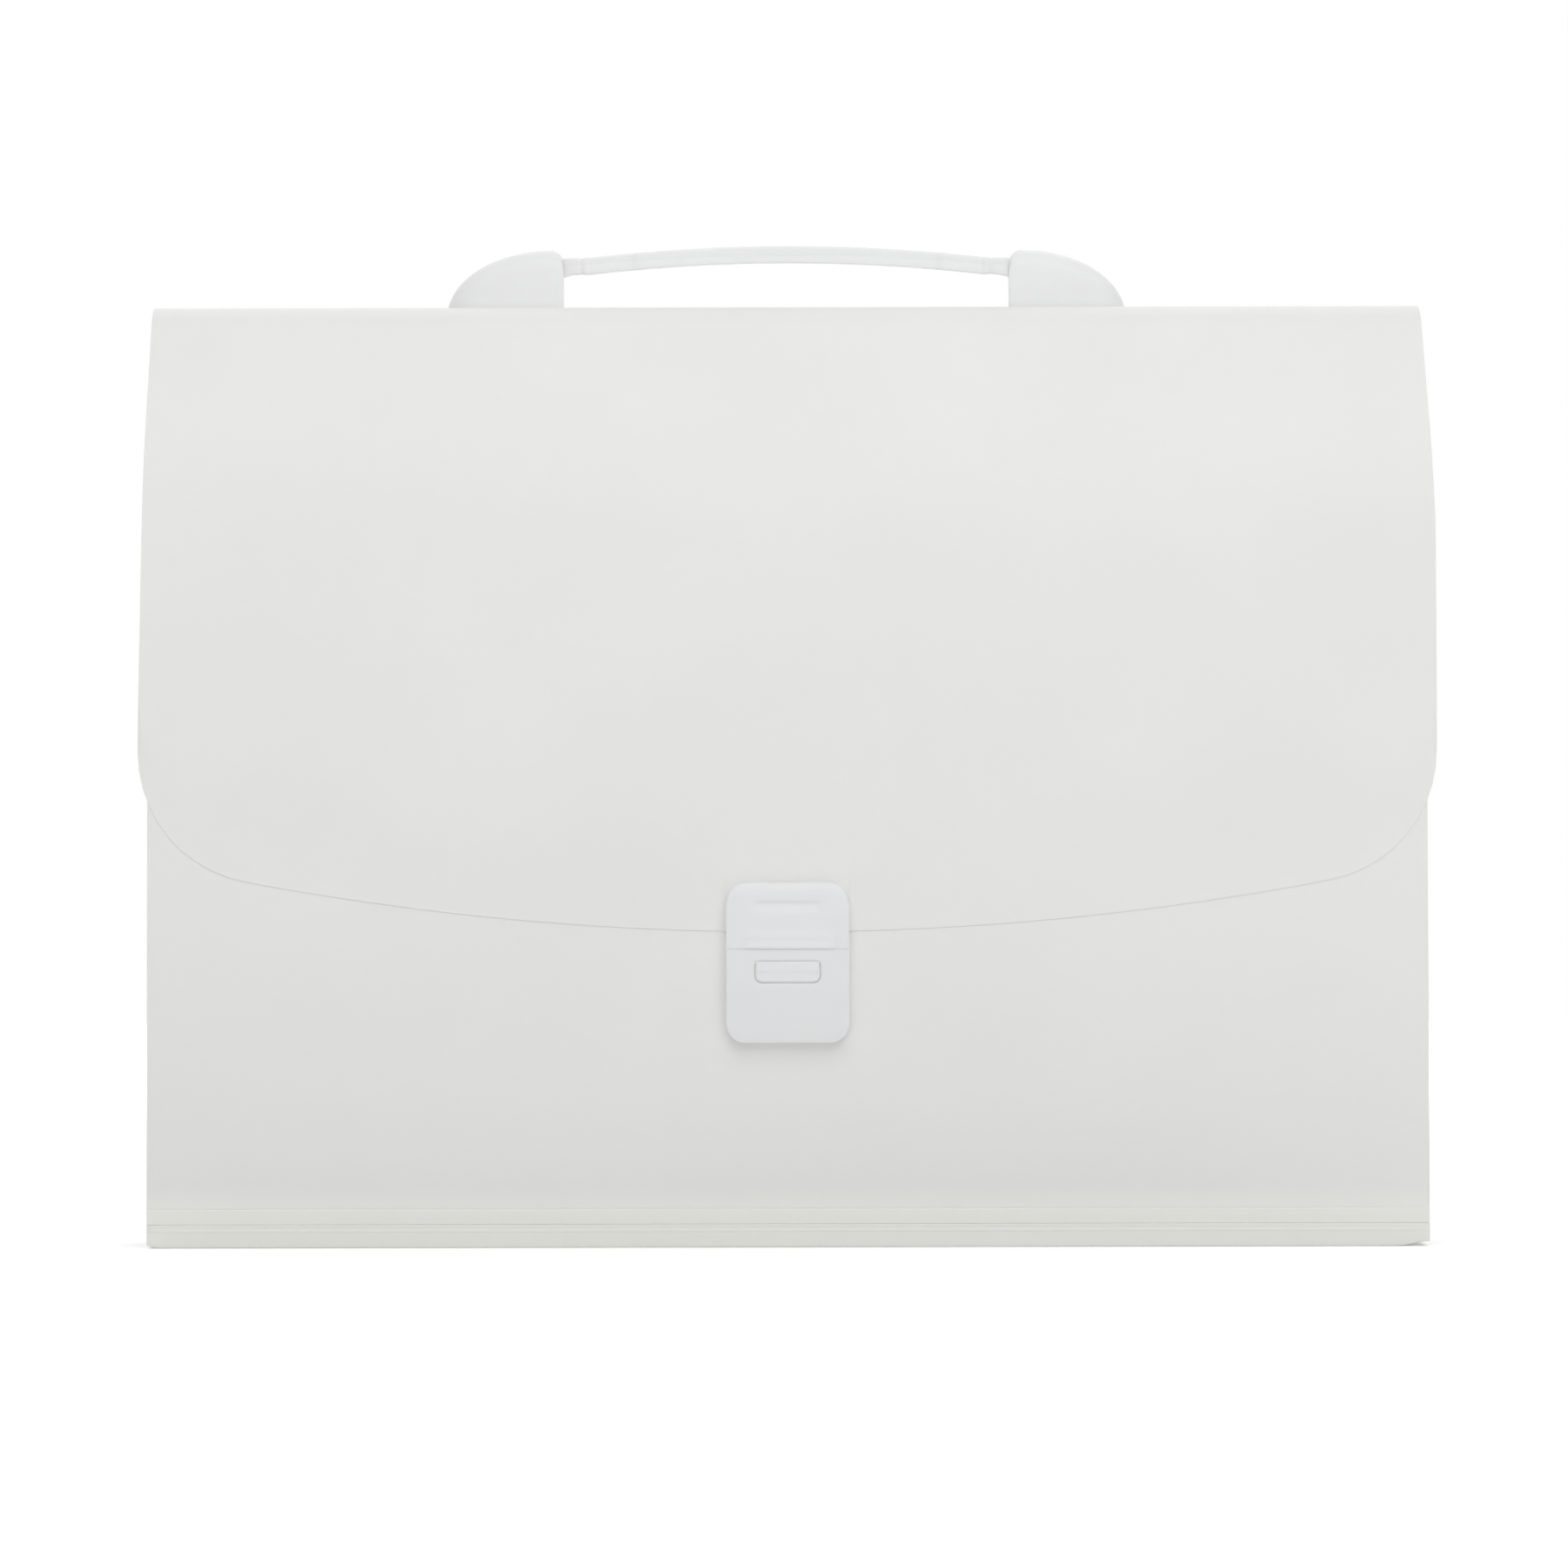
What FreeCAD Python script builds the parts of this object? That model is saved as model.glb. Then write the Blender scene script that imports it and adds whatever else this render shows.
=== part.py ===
"""Expanding file for papers: a creased cover sheet with a flap, pockets, a strap handle and a push clasp.

Millimetres. +Z is up, the front faces -Y, and the origin is the middle of the footprint on the floor.
"""
import FreeCAD, Part
import math
import os
from FreeCAD import Vector

# Sheets
cover_sheet = 0.8
divider_sheet = 0.6
gusset_film = 0.35
crease_web = 0.5
crease_width = 2.0

# Body
panel_width = 330.0
body_height = 245.0
floor_bend = 1.2
floor_edge = 4.0
front_drop = 53.0
front_corner = 8.0
score_rise = 3.5
score_width = 0.8
score_depth = 0.25

# Pockets
pocket_count = 6
pocket_gap = 5.6
divider_drop = 45.0
divider_lift = 0.3
divider_corner = 5.0
tab_width = 44.0
tab_height = 11.0
tab_corner = 4.0
weld_inset = 3.0
weld_flange = 2.5
pleat_depth = 12.0
gusset_drop = 4.0

# Flap
flap_width = 335.0
flap_top_width = 331.0
flap_gap = 0.75
flap_bottom = 81.1
flap_bottom_radius = 750.0
flap_corner = 34.0
shoulder_drop = 59.0
shoulder_radius = 90.0
shoulder_angle = 20.0
roll_radius = 9.0

# Rivets
rivet_radius = 1.6
rivet_head_radius = 2.6
rivet_head = 0.25
rivet_bite = 2.2
rivet_clearance = 0.1

# Clasp
clasp_width = 31.6
clasp_rise = 4.0
clasp_corner = 4.5
clasp_edge = 3.0
clasp_rivet_spacing = 21.0
plate_height = 17.2
plate_overhang = 4.4
plate_rivet_drop = 8.0
slot_width = 16.8
slot_drop = 5.1
slot_radius = 0.9
slot_depth = 0.45
rib_rise = 0.4
rib_width = 2.2
rib_length = 19.0
rib_pitch = 2.3
rib_count = 2
first_rib = 1.45
seam_gap = 0.15
receiver_height = 24.0
receiver_wall = 1.4
receiver_back = 0.6
receiver_rivet_rise = 4.2
thumb_rise = 12.0
thumb_radius = 4.0
thumb_depth = 0.15
window_width = 16.8
window_height = 5.6
window_drop = 3.0
window_corner = 1.8
scoop_depth = 0.4
scoop_spread = 3.0
scoop_margin = 0.6
tongue_width = 18.0
tongue_length = 16.0
tongue_sheet = 1.0
tongue_corner = 3.0
tongue_clearance = 0.3
button_clearance = 0.25
button_head_clearance = 0.12
button_recess = 0.2
button_groove = 0.4
clasp_backing_width = 28.0
clasp_backing_height = 7.0
clasp_backing_sheet = 0.4

# Handle
handle_span = 117.0
mount_length = 30.4
mount_height = 15.4
mount_corner = 4.0
mount_dome = 27.0
mount_edge = 2.4
mount_margin = 1.6
foot_height = 3.6
foot_margin = 0.7
mount_wall = 1.3
mount_rivet_spacing = 15.0
mount_rivet_offset = 6.5
strap_rise = 12.3
strap_sheet = 3.3
strap_bite = 11.0
strap_clearance = 0.3
grip_length = 80.0
grip_inset = 0.3
grip_thickness = 2.8
grip_bow = 3.1
grip_edge = 0.8
neck_length = 5.5
handle_backing_sheet = 0.8
handle_backing_margin = 1.5

# Levels along Y, from the back to the front
inner_depth = pocket_count * pocket_gap + (pocket_count - 1) * divider_sheet
total_depth = 3 * cover_sheet + inner_depth + flap_gap + clasp_rise
y_back = total_depth / 2
y_back_inner = y_back - cover_sheet
y_front_inner = y_back_inner - inner_depth
y_front = y_front_inner - cover_sheet
y_flap_inner = y_front - flap_gap
y_flap = y_flap_inner - cover_sheet
y_clasp = y_flap - clasp_rise
y_face = y_clasp + rib_rise

# Levels along Z
front_top = body_height - front_drop
divider_top = body_height - divider_drop
shoulder_start = body_height - shoulder_drop
front_bottom = floor_edge + crease_width
plate_bottom = flap_bottom - plate_overhang
plate_top = plate_bottom + plate_height
receiver_top = plate_bottom - seam_gap
receiver_bottom = receiver_top - receiver_height

# Shoulder of the flap
lean = math.radians(shoulder_angle)
incline_rise = shoulder_drop - shoulder_radius * math.sin(lean) - roll_radius * (1 - math.sin(lean))
y_roll_end = (
    y_flap
    + shoulder_radius * (1 - math.cos(lean))
    + incline_rise * math.tan(lean)
    + roll_radius * math.cos(lean)
)

# Spine
y_spine_front = y_roll_end + crease_width
y_spine_back = y_back - crease_width
spine_depth = y_spine_back - y_spine_front
y_spine = (y_spine_front + y_spine_back) / 2
mount_depth = spine_depth - 2 * mount_margin
strap_width = mount_depth - 2 * (mount_wall + strap_clearance)
grip_width = mount_depth - 2 * grip_inset


def save(name, *solids):
    """Write one sub-part as one solid or a group of solids."""
    shape = solids[0] if len(solids) == 1 else Part.makeCompound(list(solids))
    shape.exportStep("parts/" + name + ".step")


def block(x0, x1, y0, y1, z0, z1):
    return Part.makeBox(x1 - x0, y1 - y0, z1 - z0, Vector(x0, y0, z0))


def rod(radius, start, end):
    """A round bar from one point to another."""
    axis = Vector(*end) - Vector(*start)
    return Part.makeCylinder(radius, axis.Length, Vector(*start), axis)


def line(start, end):
    return Part.LineSegment(Vector(*start), Vector(*end)).toShape()


def arc(start, middle, end):
    return Part.Arc(Vector(*start), Vector(*middle), Vector(*end)).toShape()


def across(wire, thickness, width):
    """A sheet whose section lies in YZ: the wire thickened to one side and extruded across the width."""
    face = wire.makeOffset2D(thickness, 2, True, True)
    sheet = face.extrude(Vector(width, 0, 0))
    sheet.translate(Vector(-width / 2, 0, 0))
    return sheet


def mirrored(shape):
    return shape.mirror(Vector(0, 0, 0), Vector(1, 0, 0))


def rounded(solid, radius, chosen):
    """Fillet the straight edges for which chosen(middle, direction) is true."""
    edges = []
    for edge in solid.Edges:
        ends = [vertex.Point for vertex in edge.Vertexes]
        if len(ends) == 2 and edge.Curve.TypeId == "Part::GeomLine":
            direction = (ends[1] - ends[0]).normalize()
            if chosen((ends[0] + ends[1]) / 2, direction):
                edges.append(edge)
    return solid.makeFillet(radius, edges)


def along_y(direction):
    return abs(direction.y) > 0.999


def rim(solid, radius, y, seam):
    """Fillet the edges round a solid's front face, apart from the one at the height of the seam."""
    edges = [e for e in solid.Edges if all(abs(v.Point.y - y) < 1e-6 for v in e.Vertexes)]
    return solid.makeFillet(radius, [e for e in edges if abs(e.CenterOfMass.z - seam) > 1e-6])


def side_edges(solid, low):
    """The edges round a solid's two side faces across Y, apart from those at its foot."""
    edges = [e for e in solid.Edges if e.CenterOfMass.z > low]
    return [e for e in edges if abs(e.Vertexes[0].Point.y - e.Vertexes[-1].Point.y) < 1e-6]


def quarter(y, z, radius, start):
    """Three points of a quarter circle in YZ about (y, z), from the angle start, in degrees, counterclockwise."""
    angles = [math.radians(start + turn) for turn in (0, 45, 90)]
    return [(0, y + radius * math.cos(a), z + radius * math.sin(a)) for a in angles]


def bottom_panel():
    """The floor, bent up into a low edge at the front and at the back."""
    front = quarter(y_front + floor_bend, floor_bend, floor_bend, 180)
    back = quarter(y_back - floor_bend, floor_bend, floor_bend, 270)
    wire = Part.Wire([
        line((0, y_front, floor_edge), front[0]),
        arc(*front),
        line(front[2], back[0]),
        arc(*back),
        line(back[2], (0, y_back, floor_edge)),
    ])
    return across(wire, -cover_sheet, panel_width)


def back_panel():
    half = panel_width / 2
    return block(-half, half, y_back_inner, y_back, floor_edge, body_height - crease_width)


def front_panel():
    """The front wall with rounded top corners, a scored line above its crease, and holes for the receiver."""
    half = panel_width / 2
    panel = block(-half, half, y_front, y_front_inner, front_bottom, front_top)
    panel = rounded(panel, front_corner, lambda p, d: along_y(d) and p.z > front_top - 1)
    score = front_bottom + score_rise
    panel = panel.cut(block(-half, half, y_front, y_front + score_depth, score, score + score_width))
    return panel.cut(Part.makeCompound(receiver_rivets(rivet_clearance)))


def top_panel():
    half = flap_top_width / 2
    spine = block(-half, half, y_spine_front, y_spine_back, body_height - cover_sheet, body_height)
    return spine.cut(Part.makeCompound(handle_rivets(rivet_clearance)))


def flap_section():
    """The flap's outer line in YZ, from its lower edge up over the shoulder to the crease at the spine."""
    low = (0, y_flap, flap_bottom)
    start = (0, y_flap, shoulder_start)
    y_centre = y_flap + shoulder_radius
    bend = [
        (0, y_centre - shoulder_radius * math.cos(a), shoulder_start + shoulder_radius * math.sin(a))
        for a in (lean / 2, lean)
    ]
    z_centre = body_height - roll_radius
    half_turn = (lean + math.pi / 2) / 2
    roll = [
        (0, y_roll_end - roll_radius * math.cos(a), z_centre + roll_radius * math.sin(a))
        for a in (lean, half_turn, math.pi / 2)
    ]
    return Part.Wire([line(low, start), arc(start, *bend), line(bend[1], roll[0]), arc(*roll)])


def flap_outline():
    """A prism with the flap's outline from the front: tapered shoulders, round corners and a bowed lower edge."""
    half, top_half = flap_width / 2, flap_top_width / 2
    sag = flap_bottom_radius - math.sqrt(flap_bottom_radius**2 - half**2)
    low, high = flap_bottom + sag, body_height + cover_sheet
    corners = [(half, 0, low), (half, 0, shoulder_start), (top_half, 0, body_height), (top_half, 0, high)]
    opposite = [(-x, y, z) for x, y, z in reversed(corners)]
    path = corners + opposite
    edges = [line(a, b) for a, b in zip(path, path[1:])]
    edges.append(arc(path[-1], (0, 0, flap_bottom), path[0]))
    prism = Part.Face(Part.Wire(edges)).extrude(Vector(0, 2 * total_depth, 0))
    prism.translate(Vector(0, -total_depth, 0))
    return rounded(prism, flap_corner, lambda p, d: along_y(d) and abs(p.z - low) < 1e-6)


def flap():
    sheet = across(flap_section(), cover_sheet, flap_width)
    return sheet.common(flap_outline()).cut(Part.makeCompound(clasp_rivets(rivet_clearance)))


def crease_back_top():
    corner = quarter(y_spine_back, body_height - crease_width, crease_width, 0)
    return across(Part.Wire([arc(*corner)]), crease_web, panel_width)


def crease_front_top():
    half = flap_top_width / 2
    return block(-half, half, y_roll_end, y_spine_front, body_height - crease_web, body_height)


def crease_front_bottom():
    half = panel_width / 2
    return block(-half, half, y_front, y_front + crease_web, floor_edge, front_bottom)


def divider_y(number):
    """The middle plane of a divider, counted from the front."""
    return y_front_inner + number * pocket_gap + (number - 0.5) * divider_sheet


def divider(number):
    """A divider sheet with one index tab; the tabs are stepped from left to right."""
    weld = panel_width / 2 - weld_inset
    y0 = divider_y(number) - divider_sheet / 2
    y1 = y0 + divider_sheet
    sheet = block(-weld, weld, y0, y1, cover_sheet + divider_lift, divider_top)
    sheet = rounded(sheet, divider_corner, lambda p, d: along_y(d) and p.z > divider_top - 1)
    tab_count = pocket_count - 1
    step = (2 * weld - 2 * divider_corner) / tab_count
    middle = -weld + divider_corner + (number - 0.5) * step
    tab = block(middle - tab_width / 2, middle + tab_width / 2, y0, y1, divider_top, divider_top + tab_height)
    tab = rounded(tab, tab_corner, lambda p, d: along_y(d) and p.z > divider_top + tab_height / 2)
    return sheet.fuse(tab).removeSplitter()


def gusset():
    """The right-hand pleated film: one inward pleat to a pocket, held to both panels and to every divider."""
    weld = panel_width / 2 - weld_inset
    fold = weld - pleat_depth
    path = [(weld + weld_flange, y_back_inner), (weld, y_back_inner)]
    for number in range(pocket_count, 0, -1):
        path.append((fold, divider_y(number) - (divider_sheet + pocket_gap) / 2))
        if number > 1:
            near = divider_y(number - 1)
            path += [(weld, near + divider_sheet / 2), (weld, near - divider_sheet / 2)]
    path += [(weld, y_front_inner), (weld + weld_flange, y_front_inner)]
    low, high = floor_edge, front_top - gusset_drop
    wire = Part.makePolygon([Vector(x, y, low) for x, y in path])
    return wire.makeOffset2D(-gusset_film, 2, True, True).extrude(Vector(0, 0, high - low))


def rivet(seat, through, head_end, clearance):
    """A rivet from its bite in a moulding, through the sheets, to a flat head. With clearance it is its own hole."""
    shank = rod(rivet_radius + clearance, seat, head_end)
    if clearance:
        return shank
    return shank.fuse(rod(rivet_head_radius, through, head_end)).removeSplitter()


def clasp_rivets(clearance=0):
    z = plate_top - plate_rivet_drop
    back = y_flap_inner + clasp_backing_sheet
    return [
        rivet((x, y_flap - rivet_bite, z), (x, back, z), (x, back + rivet_head, z), clearance)
        for x in (-clasp_rivet_spacing / 2, clasp_rivet_spacing / 2)
    ]


def receiver_rivets(clearance=0):
    z = receiver_bottom + receiver_rivet_rise
    back = y_front_inner + clasp_backing_sheet
    return [
        rivet((x, y_front - rivet_bite, z), (x, back, z), (x, back + rivet_head, z), clearance)
        for x in (-clasp_rivet_spacing / 2, clasp_rivet_spacing / 2)
    ]


def handle_rivets(clearance=0):
    under = body_height - cover_sheet - handle_backing_sheet
    first = handle_span / 2 + mount_rivet_offset
    places = [side * (first + step) for side in (-1, 1) for step in (0, mount_rivet_spacing)]
    return [
        rivet(
            (x, y_spine, body_height + rivet_bite),
            (x, y_spine, under),
            (x, y_spine, under - rivet_head),
            clearance,
        )
        for x in places
    ]


def backing(y, z, rivets):
    """A plate behind a riveted sheet, on the side away from the moulding."""
    half, rise = clasp_backing_width / 2, clasp_backing_height / 2
    plate = block(-half, half, y, y + clasp_backing_sheet, z - rise, z + rise)
    return plate.cut(Part.makeCompound(rivets))


def groove(width, y, z, radius, depth):
    """A round bar across X that cuts a groove of this depth into a face at y."""
    return rod(radius, (-width / 2, y + depth - radius, z), (width / 2, y + depth - radius, z))


def finger_rib(z):
    """A low rib with round ends across the plate's face, for the fingertip."""
    radius = (rib_width**2 / 4 + rib_rise**2) / (2 * rib_rise)
    reach = rib_length / 2 - rib_width / 2
    y = y_clasp + radius
    bar = rod(radius, (-reach, y, z), (reach, y, z))
    for x in (-reach, reach):
        bar = bar.fuse(Part.makeSphere(radius, Vector(x, y, z)))
    proud = block(-rib_length, rib_length, y_clasp, y_face + rib_rise / 4, z - rib_width, z + rib_width)
    return bar.common(proud)


def clasp_plate():
    """The clasp's upper half: round top corners, a slot above and finger ribs below."""
    half = clasp_width / 2
    plate = block(-half, half, y_face, y_flap, plate_bottom, plate_top)
    plate = rounded(plate, clasp_corner, lambda p, d: along_y(d) and p.z > plate_top - 1)
    plate = rim(plate, clasp_edge, y_face, plate_bottom)
    slot = groove(slot_width, y_face, plate_top - slot_drop, slot_radius, slot_depth)
    plate = plate.cut(Part.makeCompound([slot] + clasp_rivets(rivet_clearance)))
    for number in range(rib_count):
        plate = plate.fuse(finger_rib(plate_bottom + first_rib + number * rib_pitch))
    return plate.removeSplitter()


def tongue_front():
    return y_face + receiver_wall + tongue_clearance


def clasp_tongue():
    """The spring tongue under the plate, behind the receiver's front wall."""
    half, low = tongue_width / 2, plate_bottom - tongue_length
    tongue = block(-half, half, tongue_front(), tongue_front() + tongue_sheet, low, plate_bottom)
    return rounded(tongue, tongue_corner, lambda p, d: along_y(d) and p.z < low + 1)


def window(margin, head, y0, y1):
    """The receiver's window, or with margins the button inside it, with round lower corners."""
    half, high = window_width / 2 - margin, receiver_top - window_drop - head
    low = receiver_top - window_drop - window_height + margin
    shape = block(-half, half, y0, y1, low, high)
    return rounded(shape, window_corner, lambda p, d: along_y(d) and p.z < low + 1)


def clasp_button():
    """The catch that stands in the window, with one groove between its two ridges."""
    button = window(button_clearance, button_head_clearance, y_face + button_recess, tongue_front())
    z = receiver_top - window_drop - window_height / 2
    return button.cut(groove(2 * window_width, y_face + button_recess, z, button_groove, button_groove))


def scoop():
    """A shallow funnel in the receiver's face, from the seam down to just round the window."""
    near = window_width / 2 + scoop_margin
    far = near + scoop_spread
    low = receiver_top - window_drop - scoop_margin
    corners = [(-far, receiver_top), (far, receiver_top), (near, low), (-near, low), (-far, receiver_top)]
    outline = Part.makePolygon([Vector(x, y_face, z) for x, z in corners])
    return Part.Face(outline).extrude(Vector(0, scoop_depth, 0))


def clasp_receiver():
    """The clasp's lower half: a shallow case, open at the top for the tongue, with a window in its front wall."""
    half = clasp_width / 2
    case = block(-half, half, y_face, y_front, receiver_bottom, receiver_top)
    case = rounded(case, clasp_corner, lambda p, d: along_y(d) and p.z < receiver_bottom + 1)
    case = rim(case, clasp_edge, y_face, receiver_top)
    reach = tongue_width / 2 + tongue_clearance
    low = plate_bottom - tongue_length - tongue_clearance
    cavity = block(-reach, reach, y_face + receiver_wall, y_front - receiver_back, low, plate_top)
    thumb = groove(2 * reach, y_face, receiver_bottom + thumb_rise, thumb_radius, thumb_depth)
    cuts = [cavity, window(0, 0, y_clasp, y_face + 2 * receiver_wall), thumb, scoop()]
    return case.cut(Part.makeCompound(receiver_rivets(rivet_clearance))).cut(cuts)


def bow_height(x, level):
    """The height of the bowed strap at x, where level is its height above the spine at the strap's ends."""
    reach = handle_span / 2 - neck_length
    radius = (reach**2 + grip_bow**2) / (2 * grip_bow)
    return body_height + level + grip_bow - radius + math.sqrt(radius**2 - x**2)


def bowed_bar(x0, x1):
    """A stretch of the bowed strap between two places along X, with round long edges."""
    low, high = strap_rise - grip_thickness / 2, strap_rise + grip_thickness / 2
    middle = (x0 + x1) / 2
    y0 = y_spine - grip_width / 2
    under = [(x, y0, bow_height(x, low)) for x in (x0, middle, x1)]
    over = [(x, y0, bow_height(x, high)) for x in (x1, middle, x0)]
    wire = Part.Wire([arc(*under), line(under[2], over[0]), arc(*over), line(over[2], under[0])])
    bar = Part.Face(wire).extrude(Vector(0, grip_width, 0))
    long_edges = [e for e in bar.Edges if e.Curve.TypeId == "Part::GeomCircle"]
    return bar.makeFillet(grip_edge, long_edges)


def handle_strap():
    """The right-hand end of the strap: the end of the bowed bar and a flat neck that runs in the mount."""
    end = handle_span / 2 - neck_length
    bar = bowed_bar(grip_length / 2, end)
    y0, y1 = y_spine - strap_width / 2, y_spine + strap_width / 2
    z1 = body_height + strap_rise + grip_thickness / 2
    neck = block(end, handle_span / 2 + strap_bite, y0, y1, z1 - strap_sheet, z1)
    return bar.fuse(neck).removeSplitter()


def handle_mount():
    """The right-hand mount: upright inside, domed outside, on a wider foot, with a slot for the strap."""
    inner, outer = handle_span / 2, handle_span / 2 + mount_length
    low, high = body_height, body_height + mount_height
    dome_start = outer - math.sqrt(mount_dome**2 - (mount_dome - mount_height) ** 2)
    z_centre = high - mount_dome
    half_turn = math.asin((outer - dome_start) / mount_dome) / 2
    y0 = y_spine - mount_depth / 2
    dome = [
        (dome_start, y0, high),
        (dome_start + mount_dome * math.sin(half_turn), y0, z_centre + mount_dome * math.cos(half_turn)),
        (outer, y0, low),
    ]
    turn = mount_corner * (1 - math.sqrt(0.5))
    corner = [
        (inner, y0, high - mount_corner),
        (inner + turn, y0, high - turn),
        (inner + mount_corner, y0, high),
    ]
    wire = Part.Wire([
        line((inner, y0, low), corner[0]),
        arc(*corner),
        line(corner[2], dome[0]),
        arc(*dome),
        line(dome[2], (inner, y0, low)),
    ])
    face = Part.Face(wire)
    mount = face.extrude(Vector(0, mount_depth, 0))
    mount = mount.makeFillet(mount_edge, side_edges(mount, low + mount_edge))
    foot = face.extrude(Vector(0, mount_depth + 2 * foot_margin, 0))
    foot.translate(Vector(0, -foot_margin, 0))
    across_y = mount_depth / 2 + foot_margin
    band = block(inner, outer, y_spine - across_y, y_spine + across_y, low, low + foot_height)
    mount = mount.fuse(foot.common(band)).removeSplitter()
    reach = strap_width / 2 + strap_clearance
    slot_high = low + strap_rise + grip_thickness / 2 + strap_clearance
    slot_low = slot_high - strap_sheet - 2 * strap_clearance
    end = inner + strap_bite + strap_clearance
    slot = block(inner - 1, end, y_spine - reach, y_spine + reach, slot_low, slot_high)
    return mount.cut(slot).cut(Part.makeCompound(handle_rivets(rivet_clearance)))


def handle_backing():
    """The plate under the spine below the right-hand mount."""
    inner, outer = handle_span / 2, handle_span / 2 + mount_length
    half = mount_depth / 2 - handle_backing_margin
    high = body_height - cover_sheet
    plate = block(
        inner + handle_backing_margin,
        outer - handle_backing_margin,
        y_spine - half,
        y_spine + half,
        high - handle_backing_sheet,
        high,
    )
    return plate.cut(Part.makeCompound(handle_rivets(rivet_clearance)))


os.makedirs("parts", exist_ok=True)

save("back_panel", back_panel())
save("bottom_panel", bottom_panel())
save("front_panel", front_panel())
save("top_panel", top_panel())
save("flap", flap())
save("crease_back_top", crease_back_top())
save("crease_front_top", crease_front_top())
save("crease_front_bottom", crease_front_bottom())

for number in range(1, pocket_count):
    save("divider_" + str(number), divider(number))
save("gusset_right", gusset())
save("gusset_left", mirrored(gusset()))

save("handle_mount_right", handle_mount())
save("handle_mount_left", mirrored(handle_mount()))
save("handle_backing_right", handle_backing())
save("handle_backing_left", mirrored(handle_backing()))
save("handle_strap_right", handle_strap())
save("handle_strap_left", mirrored(handle_strap()))
save("handle_grip", bowed_bar(-grip_length / 2, grip_length / 2))
save("handle_rivets", *handle_rivets())

save("clasp_plate", clasp_plate())
save("clasp_tongue", clasp_tongue())
save("clasp_button", clasp_button())
save("clasp_backing", backing(y_flap_inner, plate_top - plate_rivet_drop, clasp_rivets(rivet_clearance)))
save("clasp_rivets", *clasp_rivets())
save("clasp_receiver", clasp_receiver())
receiver_rivet_z = receiver_bottom + receiver_rivet_rise
save("receiver_backing", backing(y_front_inner, receiver_rivet_z, receiver_rivets(rivet_clearance)))
save("receiver_rivets", *receiver_rivets())
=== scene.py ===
"""Looks of the expanding file: milky sheets, pleated films, a moulded clasp and a strap handle.

Metres, in the frame's own axes: +Z is up and the front faces -Y.
"""
import bmesh
import bpy
import math
from mathutils import Matrix, Vector, noise


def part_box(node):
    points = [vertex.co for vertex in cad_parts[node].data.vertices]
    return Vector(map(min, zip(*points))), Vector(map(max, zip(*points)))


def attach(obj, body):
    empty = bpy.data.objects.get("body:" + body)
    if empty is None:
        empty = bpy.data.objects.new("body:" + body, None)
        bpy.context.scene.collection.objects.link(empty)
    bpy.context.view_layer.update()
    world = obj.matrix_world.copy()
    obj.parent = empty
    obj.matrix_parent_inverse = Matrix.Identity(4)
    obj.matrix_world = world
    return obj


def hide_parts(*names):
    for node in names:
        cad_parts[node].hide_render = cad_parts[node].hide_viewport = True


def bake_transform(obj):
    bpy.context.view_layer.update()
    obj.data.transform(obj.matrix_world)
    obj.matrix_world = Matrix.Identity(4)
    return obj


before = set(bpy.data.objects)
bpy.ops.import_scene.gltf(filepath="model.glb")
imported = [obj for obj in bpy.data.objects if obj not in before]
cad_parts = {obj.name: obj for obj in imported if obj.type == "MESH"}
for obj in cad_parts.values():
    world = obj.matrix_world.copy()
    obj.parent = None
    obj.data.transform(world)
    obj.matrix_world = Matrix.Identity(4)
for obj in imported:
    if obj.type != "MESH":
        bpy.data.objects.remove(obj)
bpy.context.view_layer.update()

mm = 0.001

# Camera, fitted to the photograph's outline in its own pixels
image_side = 1800
focal_pixels = 6165.0
sensor_width = 36.0
camera_place = Vector((-0.85 * mm, -1400 * mm, 71 * mm))
camera_pitch = 0.0348
camera_roll = -0.0021

# Light
sky_front = (0.12, 0.25)
sky_round = (0.36, 1.6)
sky_turn = (-0.5, 0.3)
key_energy = 11.9
key_place = (0.1, -1.2, 1.2)
key_size = (1.8, 1.4)
fill_energy = 1.3
fill_place = (0.1, -1.1, 0.35)
fill_size = (1.0, 0.5)
lamp_target = (0, 0, 0.14)
floor_side = 6.0
floor_grey = 0.85
floor_lift = (0.3, 0.9)
floor_lift_reach = (0.5, 2.2)

# Sheets
edge_round = 0.2 * mm
divider_edge = 0.15 * mm
film_edge = 0.08 * mm
column_step = 7.5 * mm
round_step = math.radians(15)
sharp_turn = math.radians(50)
bevel_turn = math.radians(60)
gusset_film = 0.35 * mm
crease_web = 0.5 * mm

# Flap, as in the frame
flap_corner = 34 * mm
flap_bottom_radius = 750 * mm
shoulder_drop = 59 * mm
shoulder_radius = 90 * mm
shoulder_lean = math.radians(20)
roll_radius = 9 * mm
left_taper_drop = 115 * mm
right_taper_drop = 59 * mm
flap_corner_step = math.radians(8)
shoulder_step = math.radians(4)
roll_step = math.radians(9)

# Hang of the flap
flap_bulge = 1.4 * mm
flap_bulge_foot = 100 * mm
flap_bulge_skew = 0.3
flap_press = 1.35 * mm
flap_curl = 0.8 * mm
flap_curl_start = 135 * mm
flap_curl_fade = 30 * mm
flap_ripple = 0.25 * mm
flap_ripple_foot = 90 * mm
flap_ripple_pitch = 60 * mm
flap_edge_share = 0.12
flap_edge_rows = [0, 0.2 * mm, 0.5 * mm]
flap_flat_rows = 20
flap_row_bias = 1.4
press_reach = 34 * mm
thin_reach = 9 * mm
clasp_clear = 14.1 * mm
clasp_fade = 16.7 * mm
clasp_head = (90.2 * mm, 94.2 * mm)

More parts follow.
